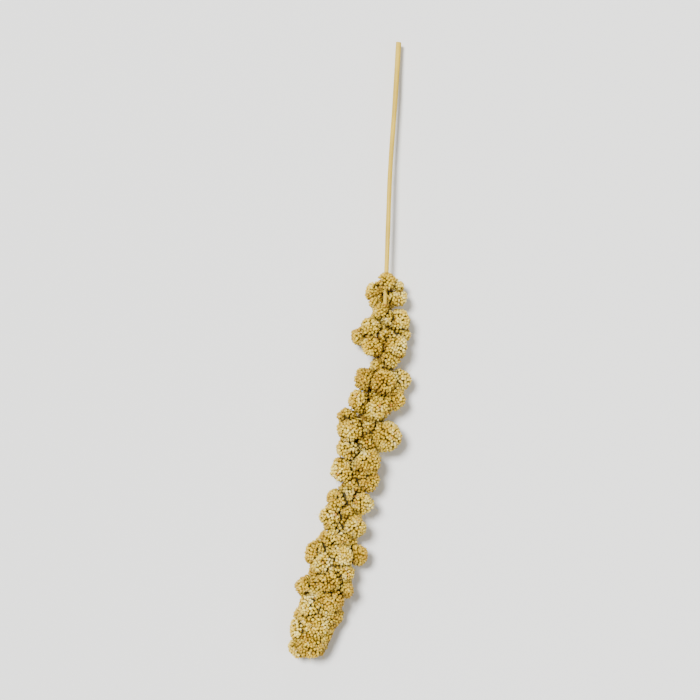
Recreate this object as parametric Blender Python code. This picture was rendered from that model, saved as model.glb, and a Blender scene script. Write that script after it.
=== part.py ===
"""Millet seed head: one spray of foxtail millet with its cut stem, lying on a surface.

X runs across the spray, Y along it from the tip of the head to the cut end of the stem, and Z up from
the surface. The stem is one stalk that goes on through the head. The head is a mass of round lobes,
each covered with grains: loose lobes of their own near the stem, then a close spiral down to the tip.
"""

import math
import random

import bmesh
import bpy
import numpy as np
from mathutils import Euler, Vector

MM = 0.001
SEED = 11
GOLDEN_ANGLE = math.radians(137.508)

# Middle of the stem, and of the stalk inside the head, from the cut end to the tip: across, along, up
CENTRE_LINE_MM = (
    (21.5, 135.3, 4.6),
    (19.9, 109.0, 6.6),
    (17.8, 80.0, 8.2),
    (16.7, 52.0, 9.2),
    (15.6, 24.0, 9.8),
    (14.2, 2.0, 10.0),
    (12.2, -17.0, 10.0),
    (8.0, -38.0, 10.0),
    (2.2, -57.0, 9.8),
    (-2.4, -74.0, 9.8),
    (-7.2, -92.0, 9.8),
    (-12.1, -110.0, 9.6),
    (-18.2, -130.0, 8.8),
)
SAMPLES_BETWEEN_POINTS = 40

# Stem: radius at the cut end, where the head begins and at its thin end near the tip of the head
STEM_CUT_RADIUS = 1.12 * MM
STEM_HEAD_RADIUS = 0.95 * MM
STEM_END_RADIUS = 0.5 * MM
HEAD_BEGINS = 100 * MM
STEM_END_BEFORE_TIP = 9 * MM
STEM_STEP = 9 * MM
STEM_SIDES = 10
STEM_CLEARANCE = 0.34 * MM

# Loose lobes: across, along, height above the centre line, radius
LOOSE_LOBES_MM = (
    (16.2, 30.2, 3.0, 3.8),
    (11.2, 25.4, -2.6, 4.4),
    (20.9, 23.0, 0.4, 3.9),
    (15.8, 22.2, -5.4, 4.8),
    (21.3, 12.6, 1.2, 5.4),
    (9.2, 10.4, 2.4, 4.0),
    (3.8, 5.4, -1.4, 3.9),
    (10.5, 2.6, 3.0, 5.2),
    (19.1, 1.4, 2.6, 6.0),
    (14.2, 12.2, -5.4, 5.6),
    (14.8, 0.8, -5.0, 5.6),
    (6.9, -13.2, 1.8, 5.0),
    (14.8, -14.0, 4.6, 5.7),
    (21.6, -13.4, -0.4, 4.7),
    (13.8, -8.4, -4.6, 5.6),
    (19.0, -21.4, 1.0, 5.0),
    (13.6, 17.0, 3.0, 3.5),
    (17.6, 13.4, 1.8, 4.0),
    (15.8, 4.8, 3.0, 4.0),
    (17.6, -3.6, 3.2, 4.5),
    (13.2, -7.2, 2.2, 3.6),
    (20.4, 27.4, -0.6, 3.5),
)

# Close lobes that stand out of the mass: across, along, height above the centre line, radius
STANDING_LOBES_MM = (
    (4.4, -22.6, 2.0, 5.2),
    (12.2, -25.6, 4.6, 5.4),
    (-1.0, -29.0, 0.0, 3.8),
    (15.4, -37.6, 2.0, 6.8),
    (0.4, -35.4, 2.2, 5.7),
    (-0.4, -42.6, 1.8, 5.4),
    (7.6, -48.4, 4.8, 5.6),
    (-2.8, -52.6, 1.8, 5.6),
    (7.8, -57.0, 3.0, 4.8),
    (-6.6, -66.2, 2.4, 5.2),
    (5.0, -66.2, 3.0, 5.0),
    (-8.2, -72.8, 2.0, 5.2),
    (1.8, -76.6, 3.4, 5.0),
    (-8.4, -81.6, 3.0, 4.6),
    (3.0, -89.6, 0.8, 4.8),
    (-14.0, -89.0, 1.6, 5.6),
    (-2.8, -97.4, 3.6, 4.8),
    (-2.6, -104.0, 3.0, 4.6),
    (-18.6, -103.8, 0.4, 5.0),
    (-21.4, -129.9, -0.4, 5.1),
    (-14.6, -128.0, 0.4, 5.2),
)

# Close lobes: a golden-angle spiral round the stalk, from its first lobe to the tip
SPIRAL_BEGINS = 158 * MM
SPIRAL_STEP = 2.4 * MM
SPIRAL_RADIUS_SPREAD = 0.08
SPIRAL_TURN_SPREAD = math.radians(14)
SPIRAL_CLEAR_OF_STANDING = 0.45

# Where standing lobes part along the top, the close ones between them lie deeper
SUNK_BEGINS = 163 * MM
SUNK_ENDS = 220 * MM
SUNK_SHARE = 0.1

# Radius of the close lobes, at distances from the cut end
SPIRAL_RADII_MM = (
    (158, 5.2),
    (200, 5.4),
    (226, 6.1),
    (278, 6.2),
)

# Half width of the close part, at distances from the cut end
HALF_WIDTH_MM = (
    (150, 5.0),
    (160, 9.6),
    (174, 11.0),
    (200, 10.0),
    (214, 9.4),
    (226, 10.4),
    (243, 11.4),
    (258, 10.6),
    (268, 9.8),
    (278, 7.0),
)

# Honeycomb of grains round the close part
CELLS_AROUND = 22
CELL_ROW_STEP = 3.0 * MM
CLOSE_BEGINS = 149 * MM
CLOSE_ENDS_BEFORE_TIP = 4 * MM
TIP_LOBES = 2

# Mass of grains that the close lobes stand out of: its share of the half width, at the same distances
CORE_SHARES_MM = (
    (150, 0.60),
    (165, 0.50),
    (212, 0.55),
    (232, 0.80),
    (278, 0.82),
)

# Grains: depth of the clefts between them and height of a grain's tip, from the lobe's own radius
CLEFT_DEPTH = 0.3 * MM
GRAIN_HEIGHT = 0.45 * MM

# Surface: how much of a lobe's radius stays above it, and the block that cuts the flat resting spots
RESTING_SHARE = 0.86
GROUND_SIZE = (120 * MM, 320 * MM, 20 * MM)


def centre_line():
    """Points on a smooth curve through the centre line, and the distance of each from the cut end."""
    knots = np.array(CENTRE_LINE_MM) * MM
    before = 2 * knots[0] - knots[1]
    after = 2 * knots[-1] - knots[-2]
    knots = np.vstack([before, knots, after])
    t = np.linspace(0, 1, SAMPLES_BETWEEN_POINTS, endpoint=False)[:, None]
    pieces = []
    for a, b, c, d in zip(knots, knots[1:], knots[2:], knots[3:]):
        bend = (2 * a - 5 * b + 4 * c - d) * t**2 + (3 * b - a - 3 * c + d) * t**3
        pieces.append(b + 0.5 * ((c - a) * t + bend))
    points = np.vstack([*pieces, knots[-2]])
    steps = np.linalg.norm(np.diff(points, axis=0), axis=1)
    return points, np.concatenate([[0], np.cumsum(steps)])


LINE, DISTANCE = centre_line()
LENGTH = DISTANCE[-1]


def on_line(distance):
    """The point of the centre line at a distance from the cut end."""
    return np.array([np.interp(distance, DISTANCE, LINE[:, axis]) for axis in range(3)])


def frame_at(distance):
    """Unit vectors to the right of the centre line and up from it, both square to it."""
    ahead = on_line(distance + MM) - on_line(distance - MM)
    right = np.cross([0, 0, 1], ahead)
    right /= np.linalg.norm(right)
    up = np.cross(ahead, right)
    return right, up / np.linalg.norm(up)


def half_width(distance):
    """Half the width of the close part of the head at a distance from the cut end."""
    places, widths = np.array(HALF_WIDTH_MM).T * MM
    return float(np.interp(distance, places, widths))


def spiral_radius(distance):
    """Radius of the close lobes, which grow larger toward the tip, at a distance from the cut end."""
    places, radii = np.array(SPIRAL_RADII_MM).T * MM
    return float(np.interp(distance, places, radii))


def core_radius(distance):
    """Radius of the mass that the close lobes stand out of, at a distance from the cut end."""
    places, shares = np.array(CORE_SHARES_MM).T
    return float(np.interp(distance, places * MM, shares)) * half_width(distance)


def rested(centre, radius):
    """A lobe's centre, lifted where the lobe would press too far into the surface."""
    lowest = RESTING_SHARE * radius
    return np.array([centre[0], centre[1], max(centre[2], lowest)])


def placed_lobes(rows):
    """Centre and radius of each lobe listed by its place in plan and its height above the centre line."""
    lobes = []
    for across, along, above, radius in np.array(rows) * MM:
        nearest = np.argmin(np.hypot(LINE[:, 0] - across, LINE[:, 1] - along))
        centre = (across, along, LINE[nearest, 2] + above)
        lobes.append((rested(centre, radius), radius))
    return lobes


def spiral_lobes(standing):
    """Centre and radius of each lobe of the close spiral that keeps clear of the standing ones."""
    rng = random.Random(SEED)
    lobes = []
    count = int((LENGTH - SPIRAL_BEGINS) / SPIRAL_STEP) + 1
    for i in range(count):
        distance = SPIRAL_BEGINS + i * SPIRAL_STEP
        turn = i * GOLDEN_ANGLE + rng.uniform(-1, 1) * SPIRAL_TURN_SPREAD
        radius = spiral_radius(distance) * (1 + rng.uniform(-1, 1) * SPIRAL_RADIUS_SPREAD)
        reach = max(half_width(distance) - radius, 0)
        if math.cos(turn) > 0.3 and SUNK_BEGINS < distance < SUNK_ENDS:
            reach *= SUNK_SHARE
        right, up = frame_at(distance)
        outward = math.sin(turn) * right + math.cos(turn) * up
        centre = rested(on_line(distance) + reach * outward, radius)
        gaps = [np.linalg.norm(centre - other) / (radius + size) for other, size in standing]
        if min(gaps) > SPIRAL_CLEAR_OF_STANDING:
            lobes.append((centre, radius))
    return lobes


def lobe_surface(distance, turns, lobes, lift):
    """Points where rays square to the centre line leave the lobes or the core, moved out by a lift."""
    right, up = frame_at(distance)
    start = on_line(distance)
    outward = np.outer(np.sin(turns), right) + np.outer(np.cos(turns), up)
    centres = np.array([centre for centre, _ in lobes]) - start
    radii = np.array([radius for _, radius in lobes])
    ahead = outward @ centres.T
    left = radii**2 - np.sum(centres**2, axis=1) + ahead**2
    exits = np.where(left > 0, ahead + np.sqrt(np.maximum(left, 0)), 0)
    reach = np.maximum(exits.max(axis=1), core_radius(distance))
    return start + (reach + lift)[:, None] * outward


def material(name, colour, roughness):
    made = bpy.data.materials.new(name)
    made.use_nodes = True
    shader = made.node_tree.nodes["Principled BSDF"]
    shader.inputs["Base Color"].default_value = (*colour, 1)
    shader.inputs["Roughness"].default_value = roughness
    shader.inputs["Metallic"].default_value = 0
    return made


def collection(name):
    made = bpy.data.collections.new(name)
    bpy.context.scene.collection.children.link(made)
    return made


def tube(name, distances, radii, sides, home):
    """A closed round mesh along the centre line, with a radius at each distance."""
    curve = bpy.data.curves.new(name, "CURVE")
    curve.dimensions = "3D"
    curve.bevel_depth = 1
    curve.bevel_resolution = sides // 2 - 2
    curve.use_fill_caps = True
    spline = curve.splines.new("POLY")
    spline.points.add(len(distances) - 1)
    for point, distance, radius in zip(spline.points, distances, radii):
        point.co = (*on_line(distance), 1)
        point.radius = radius
    guide = bpy.data.objects.new(f"{name}_curve", curve)
    home.objects.link(guide)
    mesh = bpy.data.meshes.new_from_object(
        guide.evaluated_get(bpy.context.evaluated_depsgraph_get())
    )
    bm = bmesh.new()
    bm.from_mesh(mesh)
    bmesh.ops.remove_doubles(bm, verts=bm.verts, dist=0.00001)
    bmesh.ops.recalc_face_normals(bm, faces=bm.faces)
    bm.to_mesh(mesh)
    bm.free()
    mesh.name = name
    obj = bpy.data.objects.new(name, mesh)
    obj.matrix_world = guide.matrix_world
    home.objects.link(obj)
    bpy.data.objects.remove(guide)
    return obj


def steps(begin, end, step):
    """Even distances from begin to end, about a step apart."""
    return np.linspace(begin, end, max(2, round((end - begin) / step) + 1))


def stem_radius(distance):
    places = (0, HEAD_BEGINS, LENGTH - STEM_END_BEFORE_TIP)
    return np.interp(distance, places, (STEM_CUT_RADIUS, STEM_HEAD_RADIUS, STEM_END_RADIUS))


def grain_ball(name, centre, radius, turn, home):
    """A ball with 32 pointed grains: an icosahedron with its corners cut, and each face raised to a tip."""
    bm = bmesh.new()
    bmesh.ops.create_icosphere(bm, subdivisions=1, radius=radius)
    bmesh.ops.bevel(
        bm,
        geom=bm.verts[:],
        offset=100 / 3,
        offset_type="PERCENT",
        affect="VERTICES",
        segments=1,
        clamp_overlap=False,
    )
    for vertex in bm.verts:
        vertex.co = vertex.co.normalized() * (radius - CLEFT_DEPTH)
    tips = bmesh.ops.poke(bm, faces=bm.faces[:], center_mode="MEAN")["verts"]
    for vertex in tips:
        vertex.co = vertex.co.normalized() * (radius + GRAIN_HEIGHT)
    mesh = bpy.data.meshes.new(name)
    bm.to_mesh(mesh)
    bm.free()
    obj = bpy.data.objects.new(name, mesh)
    obj.location = Vector(centre)
    obj.rotation_euler = turn
    home.objects.link(obj)
    return obj


def honeycomb_body(name, lobes, home):
    """A closed tube of six-sided cells round the centre line, each raised to a grain, shaped by the lobes.

    Cells of one row stand half a cell aside from the next. Between rows j and j + 1 lie two rings of
    cell corners, one and two thirds of the way.
    """
    rows = round((LENGTH - CLOSE_ENDS_BEFORE_TIP - CLOSE_BEGINS) / CELL_ROW_STEP)
    around = np.arange(CELLS_AROUND)
    points = []

    def ring(row, offset, lift):
        """Adds a ring of points, and returns their numbers."""
        turns = (around + offset) * 2 * math.pi / CELLS_AROUND
        points.extend(lobe_surface(CLOSE_BEGINS + row * CELL_ROW_STEP, turns, lobes, lift))
        return around + len(points) - CELLS_AROUND

    offsets = [0.5 * (row % 2) for row in range(rows + 2)]
    near = [ring(row + 1 / 3, offsets[row + 1], -CLEFT_DEPTH) for row in range(rows + 1)]
    far = [ring(row + 2 / 3, offsets[row], -CLEFT_DEPTH) for row in range(rows + 1)]
    faces = []
    for row in range(1, rows + 1):
        tips = ring(row, offsets[row], GRAIN_HEIGHT)
        for i in around:
            after = (i + row % 2) % CELLS_AROUND
            before = (after - 1) % CELLS_AROUND
            corners = (
                far[row][i],
                near[row][after],
                far[row - 1][after],
                near[row - 1][i],
                far[row - 1][before],
                near[row][before],
            )
            faces += [(tips[i], a, b) for a, b in zip(corners, (*corners[1:], corners[0]))]
    mesh = bpy.data.meshes.new(name)
    mesh.from_pydata(points, [], faces)
    bm = bmesh.new()
    bm.from_mesh(mesh)
    loose = [vertex for vertex in bm.verts if not vertex.link_faces]
    bmesh.ops.delete(bm, geom=loose, context="VERTS")
    bmesh.ops.holes_fill(bm, edges=[edge for edge in bm.edges if edge.is_boundary])
    bmesh.ops.recalc_face_normals(bm, faces=bm.faces)
    bm.to_mesh(mesh)
    bm.free()
    obj = bpy.data.objects.new(name, mesh)
    home.objects.link(obj)
    return obj


def apply_boolean(obj, operation, solver, helper):
    """Joins a collection to an object, or cuts one object from it, and applies the result."""
    modifier = obj.modifiers.new(operation.title(), "BOOLEAN")
    modifier.operation = operation
    modifier.solver = solver
    if isinstance(helper, bpy.types.Collection):
        modifier.operand_type = "COLLECTION"
        modifier.collection = helper
    else:
        modifier.object = helper
    bpy.context.view_layer.update()
    graph = bpy.context.evaluated_depsgraph_get()
    joined = bpy.data.meshes.new_from_object(obj.evaluated_get(graph))
    obj.modifiers.clear()
    obj.data = joined


def drop_scraps(obj):
    """Keeps the largest closed body of a mesh, and drops loose scraps left by a cut."""
    bm = bmesh.new()
    bm.from_mesh(obj.data)
    left = set(bm.verts)
    bodies = []
    while left:
        body = set()
        front = [left.pop()]
        while front:
            vertex = front.pop()
            body.add(vertex)
            near = {edge.other_vert(vertex) for edge in vertex.link_edges} & left
            left -= near
            front.extend(near)
        bodies.append(body)
    bodies.sort(key=len)
    for body in bodies[:-1]:
        bmesh.ops.delete(bm, geom=list(body), context="VERTS")
    bm.to_mesh(obj.data)
    bm.free()


def build_stem(home):
    distances = steps(0, LENGTH - STEM_END_BEFORE_TIP, STEM_STEP)
    stem = tube("stem", distances, stem_radius(distances), STEM_SIDES, home)
    stem.data.materials.append(material("stem_straw", (0.62, 0.49, 0.30), 0.6))
    stem.data.shade_smooth()
    return stem


def build_head(home, helpers):
    """Joins the lobes into one body, with a bore for the stalk and flat spots to rest on."""
    loose = placed_lobes(LOOSE_LOBES_MM)
    standing = placed_lobes(STANDING_LOBES_MM)
    close = standing + spiral_lobes(loose + standing)
    head = honeycomb_body("seed_head", close, home)

    balls = collection("lobes")
    turns = random.Random(SEED)
    for i, (centre, radius) in enumerate(loose + standing[-TIP_LOBES:]):
        turn = Euler([turns.uniform(0, 2 * math.pi) for _ in range(3)])
        grain_ball(f"lobe_{i:02d}", centre, radius, turn, balls)
    apply_boolean(head, "UNION", "MANIFOLD", balls)
    for ball in list(balls.objects):
        bpy.data.objects.remove(ball)
    bpy.data.collections.remove(balls)

    distances = steps(0, LENGTH - STEM_END_BEFORE_TIP, STEM_STEP)
    radii = stem_radius(distances) + STEM_CLEARANCE
    bore = tube("bore", distances, radii, STEM_SIDES, helpers)
    apply_boolean(head, "DIFFERENCE", "MANIFOLD", bore)

    bpy.ops.mesh.primitive_cube_add(size=1, location=(0, 0, -GROUND_SIZE[2] / 2))
    ground = bpy.context.object
    ground.name = "ground"
    ground.scale = GROUND_SIZE
    apply_boolean(head, "DIFFERENCE", "MANIFOLD", ground)
    bpy.data.objects.remove(bore)
    bpy.data.objects.remove(ground)
    drop_scraps(head)
    head.data.materials.clear()
    head.data.materials.append(material("grain_gold", (0.71, 0.53, 0.23), 0.65))
    return head


def main():
    for obj in list(bpy.data.objects):
        bpy.data.objects.remove(obj)
    home = collection("millet_seed_head")
    helpers = collection("cutters")
    build_stem(home)
    build_head(home, helpers)


main()
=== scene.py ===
"""Millet seed head, finished: a spray of foxtail millet with its cut stem, lying on a pale surface.

Every lobe of the head is covered with husked grains at their real size, each a small turned body of its
own, over an inner mass coloured dark as painted shade. Papery glumes and short bristles stand between
them, thin branchlets carry the lobes, and the ridged stalk runs from its cut end through the head.
"""

import functools
import itertools
import math
import random

import bpy
import numpy as np
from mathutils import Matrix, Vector
from mathutils.kdtree import KDTree


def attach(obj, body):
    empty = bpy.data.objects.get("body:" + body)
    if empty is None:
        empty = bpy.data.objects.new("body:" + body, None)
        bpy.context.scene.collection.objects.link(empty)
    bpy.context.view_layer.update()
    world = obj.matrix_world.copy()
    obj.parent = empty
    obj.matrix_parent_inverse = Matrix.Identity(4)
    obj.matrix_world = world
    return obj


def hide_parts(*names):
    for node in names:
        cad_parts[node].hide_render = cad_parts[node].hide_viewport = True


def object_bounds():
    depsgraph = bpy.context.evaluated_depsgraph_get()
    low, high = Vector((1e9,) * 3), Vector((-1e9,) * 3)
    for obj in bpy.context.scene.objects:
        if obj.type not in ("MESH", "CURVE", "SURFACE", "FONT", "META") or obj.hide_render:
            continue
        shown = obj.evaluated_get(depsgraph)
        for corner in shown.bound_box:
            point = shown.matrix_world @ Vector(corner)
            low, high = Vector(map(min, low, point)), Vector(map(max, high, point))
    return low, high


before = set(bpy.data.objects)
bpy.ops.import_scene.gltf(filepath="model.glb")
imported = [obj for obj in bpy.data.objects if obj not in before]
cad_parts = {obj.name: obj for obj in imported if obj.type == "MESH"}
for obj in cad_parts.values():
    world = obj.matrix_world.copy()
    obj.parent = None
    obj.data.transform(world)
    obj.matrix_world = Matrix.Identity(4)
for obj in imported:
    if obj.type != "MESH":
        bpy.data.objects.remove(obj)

bl_info = {
    "name": "Millet seed head",
    "version": (1, 0, 0),
    "blender": (4, 5, 0),
    "location": "View3D > Sidebar > Millet",
    "description": "Builds the grains, husks, bristles and stalk of a foxtail millet head",
    "category": "Add Mesh",
}

MM = 0.001
SEED = 11
GOLDEN_ANGLE = math.radians(137.508)
TURN = 2 * math.pi
CAD_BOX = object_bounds()
WHITE = (1.0, 1.0, 1.0)
NEARLY_UP = 0.9

# Middle of the stalk from the cut end to the tip, as the solids have it: across, along, up
CENTRE_LINE_MM = (
    (21.5, 135.3, 4.6),
    (19.9, 109.0, 6.6),
    (17.8, 80.0, 8.2),
    (16.7, 52.0, 9.2),
    (15.6, 24.0, 9.8),
    (14.2, 2.0, 10.0),
    (12.2, -17.0, 10.0),
    (8.0, -38.0, 10.0),
    (2.2, -57.0, 9.8),
    (-2.4, -74.0, 9.8),
    (-7.2, -92.0, 9.8),
    (-12.1, -110.0, 9.6),
    (-18.2, -130.0, 8.8),
)
SAMPLES_BETWEEN_POINTS = 40

# Stalk: radius at the cut end, where the head begins and at its thin end inside the head
STALK_CUT_RADIUS = 1.12 * MM
STALK_HEAD_RADIUS = 0.95 * MM
STALK_END_RADIUS = 0.5 * MM
HEAD_BEGINS = 100 * MM
STALK_END_BEFORE_TIP = 9 * MM
HAIRS_END = 165 * MM

# Stalk's wall: ridges as count, size and phase, and swells as pace along it, size and phase
STALK_RIDGES = ((11, 0.035, 0.0), (5, 0.02, 1.3))
STALK_SWELLS = ((95, 0.03, 0.0), (310, 0.02, 1.0))

# Stalk's cut: each ring's share of the wall's radius and its distance into the stalk in mm
STALK_RIM = ((0.18, 0.55), (0.44, 0.5), (0.60, 0.22), (0.80, 0.05), (0.93, 0.0), (0.985, 0.12))
STALK_WALL_BEGINS = 0.4 * MM
STALK_SLANT = 0.06
STALK_SLANT_REACH = 6 * MM

STALK_ROWS = 300
STALK_SIDES = 66
STALK_TWIST = 3.0
PITH_RINGS = 4
PITH_AT_MIDDLE = 0.6

# Branchlets: radius at the stalk and inside their lobe, how that varies, and in radii of the lobe how
# far back they leave the stalk and how far on they bend
BRANCHLET_FOOT_RADIUS = 0.42 * MM
BRANCHLET_END_RADIUS = 0.24 * MM
BRANCHLET_THICKNESSES = (0.85, 1.15)
BRANCHLET_BACK = 0.7
BRANCHLET_BEND = 0.9
BRANCHLET_ROWS = 10
BRANCHLET_SIDES = 7

# Loose lobes: across, along, height above the centre line, radius
LOOSE_LOBES_MM = (
    (16.2, 30.2, 3.0, 3.8),
    (11.2, 25.4, -2.6, 4.4),
    (20.9, 23.0, 0.4, 3.9),
    (15.8, 22.2, -5.4, 4.8),
    (21.3, 12.6, 1.2, 5.4),
    (9.4, 9.4, 2.4, 4.4),
    (4.8, 5.8, -1.0, 4.1),
    (10.2, 2.2, 3.0, 5.2),
    (19.1, 1.4, 2.6, 6.0),
    (14.2, 12.2, -5.4, 5.6),
    (14.8, 0.8, -5.0, 5.6),
    (6.9, -13.2, 1.8, 5.0),
    (14.8, -14.0, 4.6, 5.7),
    (21.6, -13.4, -0.4, 4.7),
    (13.8, -8.4, -4.6, 5.6),
    (19.0, -21.4, 1.0, 5.0),
    (13.6, 17.0, 3.0, 3.5),
    (17.6, 13.4, 1.8, 4.0),
    (15.8, 4.8, 3.0, 4.0),
    (17.6, -3.6, 3.2, 4.5),
    (13.2, -7.2, 2.2, 3.6),
    (20.4, 27.4, -0.6, 3.5),
    (11.4, 20.6, 0.4, 3.0),
    (21.4, 6.8, 0.2, 4.7),
    (18.0, -16.6, 2.4, 4.4),
)

# Close lobes that stand out of the mass: across, along, height above the centre line, radius
STANDING_LOBES_MM = (
    (4.4, -22.6, 2.0, 5.2),
    (12.2, -25.6, 4.6, 5.4),
    (-1.0, -29.0, 0.0, 3.8),
    (15.4, -37.6, 2.0, 6.8),
    (0.4, -35.4, 2.2, 5.7),
    (-0.4, -42.6, 1.8, 5.4),
    (7.6, -48.4, 4.8, 5.6),
    (-2.8, -52.6, 1.8, 5.6),
    (7.8, -57.0, 3.0, 4.8),
    (-5.2, -65.6, 2.4, 4.9),
    (5.0, -66.2, 3.0, 5.0),
    (-7.8, -73.0, 2.0, 5.0),
    (1.8, -76.6, 3.4, 5.0),
    (-8.4, -81.6, 3.0, 4.6),
    (3.0, -89.6, 0.8, 4.8),
    (-14.0, -89.0, 1.6, 5.6),
    (-2.8, -97.4, 3.6, 4.8),
    (-2.6, -104.0, 3.0, 4.6),
    (-18.6, -103.8, 0.4, 5.0),
    (-21.4, -129.9, -0.4, 5.1),
    (-14.6, -128.0, 0.4, 5.2),
)

# Close lobes: a golden-angle spiral round the stalk, from its first lobe to the tip
SPIRAL_BEGINS = 158 * MM
SPIRAL_STEP = 2.4 * MM
SPIRAL_RADII_MM = ((158, 5.2), (200, 5.4), (226, 6.1), (278, 6.2))
SPIRAL_RADIUS_SPREAD = 0.08
SPIRAL_TURN_SPREAD = math.radians(14)
SPIRAL_CLEAR_OF_STANDING = 0.45

# Where standing lobes part along the top, the close ones between them lie deeper
SUNK_BEGINS = 163 * MM
SUNK_ENDS = 220 * MM
SUNK_FACES_UP = 0.3
SUNK_SHARE = 0.1

# Half width of the close part, at distances from the cut end
HALF_WIDTH_MM = (
    (150, 5.0),
    (160, 9.6),
    (174, 11.0),
    (200, 10.0),
    (214, 9.4),
    (226, 10.4),
    (243, 11.4),
    (258, 10.6),
    (268, 9.8),
    (278, 7.0),
)

# Mass of grains round the stalk that the close lobes stand out of: its share of the half width
CORE_SHARES_MM = ((150, 0.6), (165, 0.5), (212, 0.55), (232, 0.8), (278, 0.82))
CORE_BEGINS = 150 * MM
CORE_STEP = 3.0 * MM
RESTING_SHARE = 0.86

# Bridges between neighbours: how near these stand for their size, how far from the middle, how large
BRIDGE_REACH = 0.92
BRIDGE_CLEAR = 5 * MM
BRIDGE_SHARE = 0.86

# Grains sink into the clefts between lobes: width and depth of a cleft on each side, how sharp it is
# and what share of light the painted shade over its grains takes away
GROOVE_WIDTH = 1.9 * MM
GROOVE_DEPTH = 0.5 * MM
GROOVE_POWER = 1.5
GROOVE_SHADE = 0.5

# Spots for the grains, in pitches: surface for each candidate, its jitter, how far another lobe may
# cover it, and the spacing that neighbours are pushed to, in how many steps and by which share
SPOT_AREA = 0.3
SPOT_JITTER = 0.22
SPOT_COVER = 0.12
SPOT_SPACING = 1.12
PUSH_STEPS = 12
PUSH_SHARE = 0.22

# Soft warp that keeps lobes from being quite round
WARP_SIZE = 0.6 * MM
WARP_LENGTH = 11 * MM
WARP_FADE_HEIGHT = 6 * MM

# Sprigs that the grains stand in: distance between two, half width, most fall to the edge, and how
# far the grains fan out
SPRIG_SPACING = 2.9 * MM
SPRIG_REACH = 1.8 * MM
SPRIG_MOST_FALL = 1.6
SPRIG_FAN = 0.2

# Jitter of a grain's tip in pitches, and of the way that it points
TIP_JITTER = 0.07
WAY_JITTER = 0.13

# Waves that height and tone follow: number of cosines, their pace, and the gain on their mean
WAVE_COUNT = 6
WAVE_PACES = (0.7, 1.4)
WAVE_GAIN = 1.5

# Length of the waves in the grains' height, their size in sprig bulges, and the length of the wide
# and narrow ones in their tone
HEIGHT_WAVES = 8 * MM
HEIGHT_WAVES_SIZE = 1.2
TONE_WAVES = 15 * MM
TONE_NARROW_WAVES = 8 * MM

# Middle of the grains' tones, and how far patches, lobes and single grains stray from it
TONE_MIDDLE = 0.47
TONE_PATCHES = 0.34
TONE_NARROW_PATCHES = 0.18
TONE_LOBES = 0.12
TONE_GRAINS = 0.15

# Light that reaches a grain's tip, for the painted shade: number of rays, their spread, where each starts and
# ends
LIGHT_RAYS = 24
LIGHT_SPREAD = 0.95
LIGHT_STARTS = 0.8 * MM
LIGHT_BEGINS = 0.4 * MM
LIGHT_ENDS = 9 * MM

# Inside of the head, a ball in each lobe: rows and sides, the angle from its poles to the first rows,
# its depth in grain lengths, its least share of the lobe and its clearance from the surface
BALL_ROWS = 10
BALL_SIDES = 16
BALL_POLE_ANGLE = 0.06
BALL_DEPTH = 1.05
BALL_LEAST_SHARE = 0.3
BALL_CLEARANCE = 0.2 * MM

# Darkest painted shade of the head's inside, as a share of its shade colour
DARKEST_SHADE = 0.45

# A grain's outline, turned about its length: distance from its foot, half width
GRAIN_OUTLINE = ((0.12, 0.36), (0.40, 0.50), (0.70, 0.44), (0.90, 0.25))
GRAIN_SIDES = 8
UNDER_OUTLINE = ((0.30, 0.48), (0.66, 0.45), (0.88, 0.26))
UNDER_SIDES = 6
GRAIN_FLATNESS = 0.86
GRAIN_SPREAD = 0.06
GRAIN_LIMITS = (0.84, 1.16)

# A glume: distance from its foot and half width, the ring of points round it at each, its two ends,
# how far it stands aside and bows, and in shares of the grain its length, width and root
GLUME_OUTLINE = ((0.0, 0.16), (0.34, 0.46), (0.68, 0.40), (0.90, 0.16))
GLUME_RING = ((-1, 0.0), (0, 0.22), (1, 0.0), (0, 0.30))
GLUME_ENDS = ((0, 0.5, -0.05), (0, 0.34, 1.0))
GLUME_ASIDE = 0.40
GLUME_BOW = 0.5
GLUME_LENGTHS = (0.74, 0.98)
GLUME_WIDTHS = (0.85, 1.1)
GLUME_ROOTS = (0.92, 1.02)
GLUME_TONES = 0.15

# A bristle: its outline and number of sides, how far its tip bows aside, how far it strays from its
# grain's way, how deep it is rooted, and its length as shares of the middle one
BRISTLE_OUTLINE = ((0.0, 0.022), (0.5, 0.016), (0.85, 0.008))
BRISTLE_SIDES = 3
BRISTLE_BOW = 0.22
BRISTLE_STRAYS = 0.3
BRISTLE_ROOT = 0.5
BRISTLE_LENGTHS = (0.6, 1.5)

# Hairs on the stalk: how far they lean along it, their lengths and their tone
HAIR_LEAN = 0.9
HAIR_LENGTHS_MM = (1.5, 2.6)
HAIR_TONE = 0.9

# Sections that the grains are kept in, by the distance in mm along the stalk where each begins
SECTIONS = (("grains_loose", 0), ("grains_upper", 158), ("grains_middle", 196), ("grains_tip", 234))

# Key light, the same all over the floor: where it comes from, how wide it looks and its strength
KEY_FROM = (-0.24, 0.24, 0.82)
KEY_ANGLE = math.radians(16)
KEY_STRENGTH = 7.0

# Soft lights: name, place from the spray's middle, size and power in watts
SOFT_LIGHTS = (
    ("fill", (0.62, -0.28, 0.75), 0.8, 3),
    ("back", (0.1, 0.9, 0.5), 0.5, 1.5),
)
SKY_COLOUR = (1.0, 0.985, 0.95)
SKY_STRENGTH = 0.28
FLOOR_REACH = 3.0

# Camera: its height over the spray's middle and the width that it shows there
CAMERA_HEIGHT = 1.0
CAMERA_SHOWS = 0.306


def unit(vectors):
    """Vectors of length one."""
    return vectors / np.linalg.norm(vectors, axis=-1, keepdims=True)


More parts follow.
